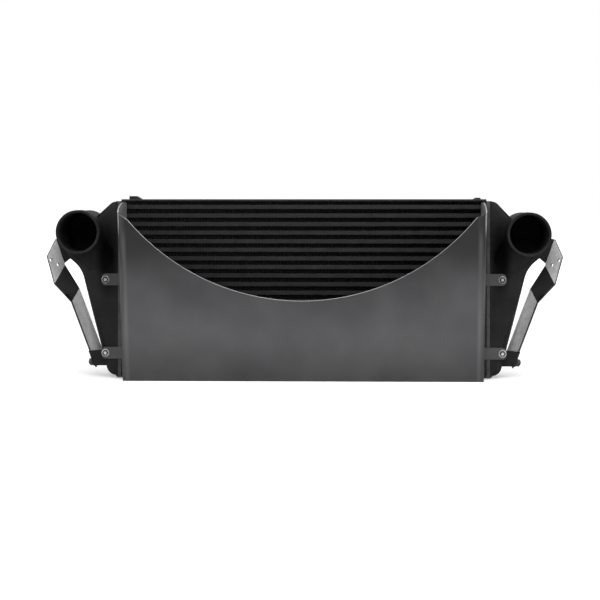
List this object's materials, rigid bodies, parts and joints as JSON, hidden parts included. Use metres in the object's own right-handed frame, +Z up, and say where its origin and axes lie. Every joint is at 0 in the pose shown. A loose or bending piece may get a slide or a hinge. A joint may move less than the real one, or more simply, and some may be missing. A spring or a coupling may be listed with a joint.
{
  "type": "intercooler",
  "caption": "Bar-and-plate air-to-air intercooler with cast end tanks, round pipe mouths, a folded scoop in front of the core and side brackets.",
  "frame": {"origin": "on the underside of the scoop, at mid width and level with the core's front face", "axes": "+X to the right along the core's length, seen from the front; -Y to the front, where the pipe mouths point; +Z up"},
  "size_m": [0.9582, 0.205, 0.3367],
  "materials": {
    "core_black": "satin black coating on the brazed aluminium core",
    "tank_black": "satin black paint on cast aluminium",
    "scoop_grey": "satin dark grey coating on folded sheet",
    "bare_aluminium": "dull grey milled",
    "bracket_steel": "brushed plate, the middle panel black",
    "zinc_steel": "bright zinc plated",
    "rubber_black": "matt moulded"
  },
  "bodies": {
    "root": {"side_plate_bottom": "core_black", "side_plate_top": "core_black", "parting_sheets": "core_black", "front_bars": "core_black", "rear_bars": "core_black", "end_bars_left": "core_black", "end_bars_right": "core_black", "cooling_fins": "core_black", "turbulators": "bare_aluminium", "header_frame_left": "bare_aluminium", "header_frame_right": "bare_aluminium", "end_tank_left": "tank_black", "end_tank_right": "tank_black", "scoop": "scoop_grey", "scoop_screws": "zinc_steel", "bracket_left": "bracket_steel", "bracket_right": "bracket_steel", "bracket_bolts": "zinc_steel", "bracket_bushes": "rubber_black", "locator_left": "core_black", "locator_right": "core_black"}
  },
  "joints": []
}
